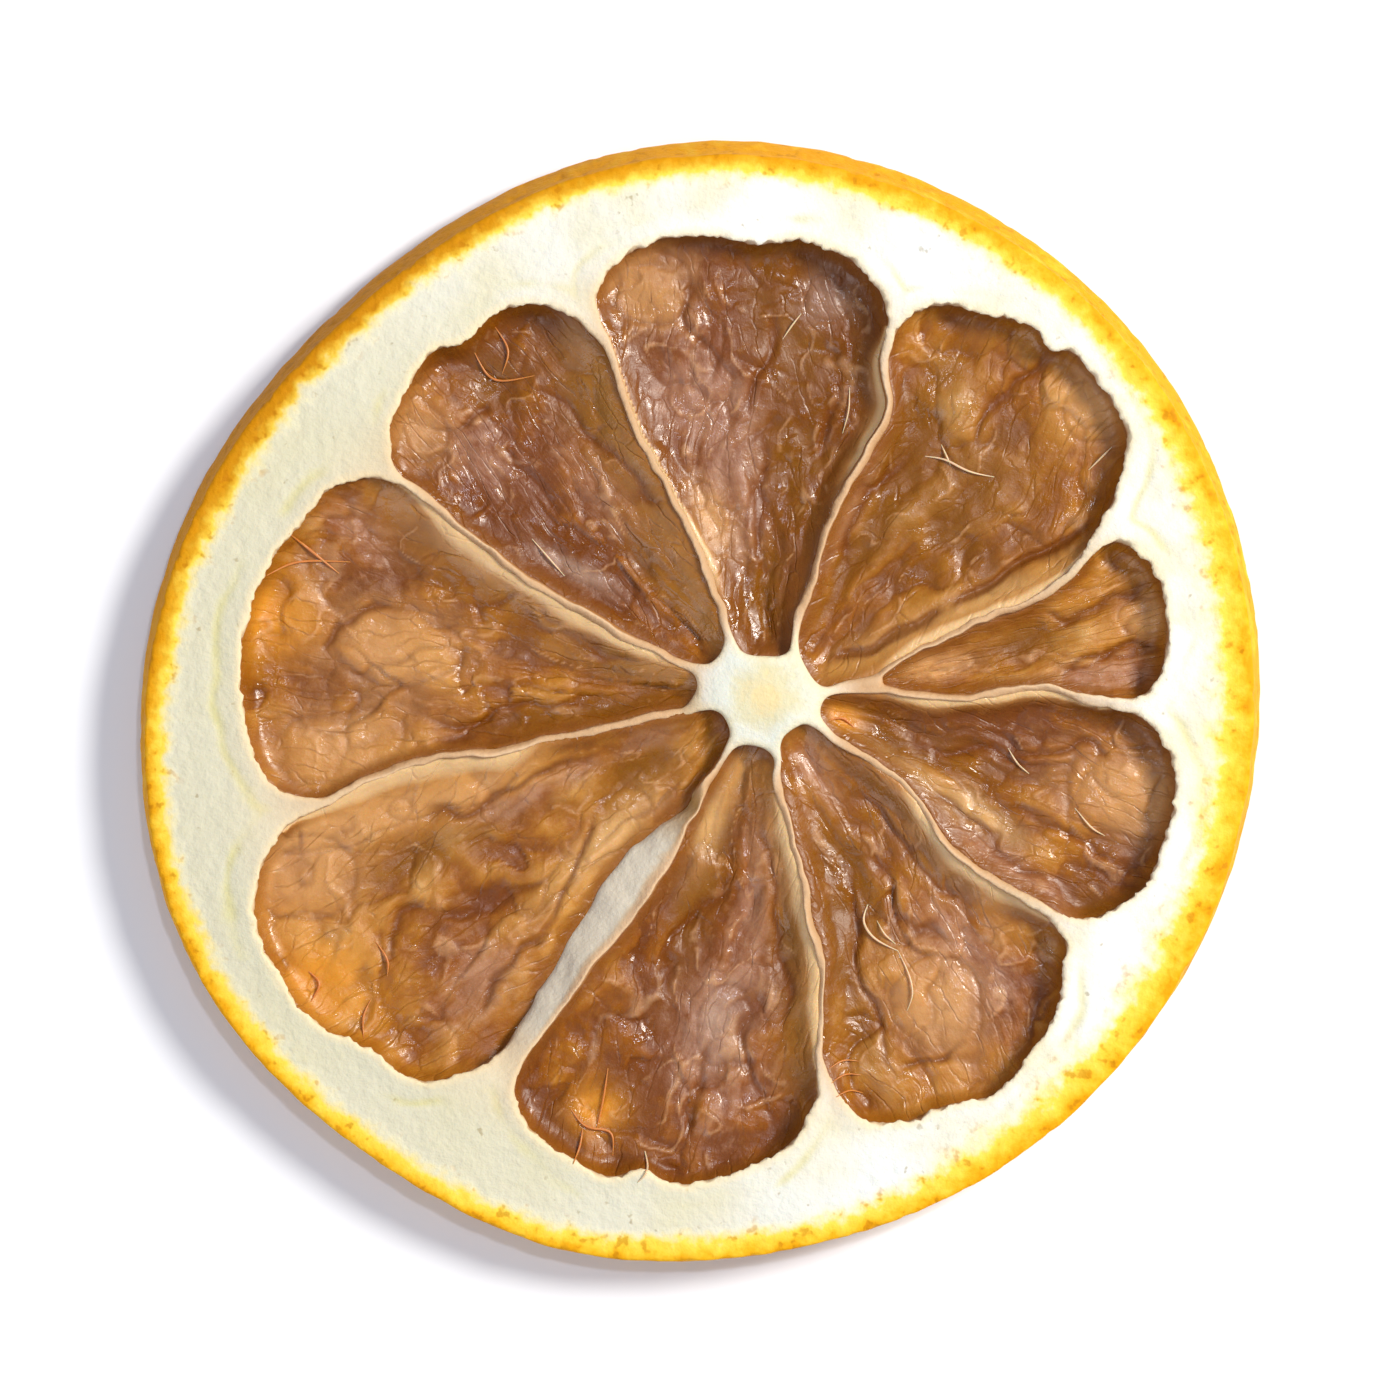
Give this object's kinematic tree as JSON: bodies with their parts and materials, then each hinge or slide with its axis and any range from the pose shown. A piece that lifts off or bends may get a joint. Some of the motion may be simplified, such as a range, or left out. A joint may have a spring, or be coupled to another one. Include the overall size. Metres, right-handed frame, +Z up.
{
  "type": "dried lemon slice",
  "caption": "Dried wheel of lemon: a pale pith ring inside yellow skin, thin membranes from an off-centre core, and thin sunken brown flesh.",
  "frame": {"origin": "on the surface that the slice lies on, under the middle of its outline", "axes": "+Z is up through the slice, square to its cut faces; +X runs from the middle of the outline towards the off-centre core"},
  "size_m": [0.049, 0.0488, 0.0034],
  "materials": {
    "dried_lemon": "satin"
  },
  "bodies": {
    "root": {"lemon_slice": "dried_lemon"}
  },
  "joints": []
}
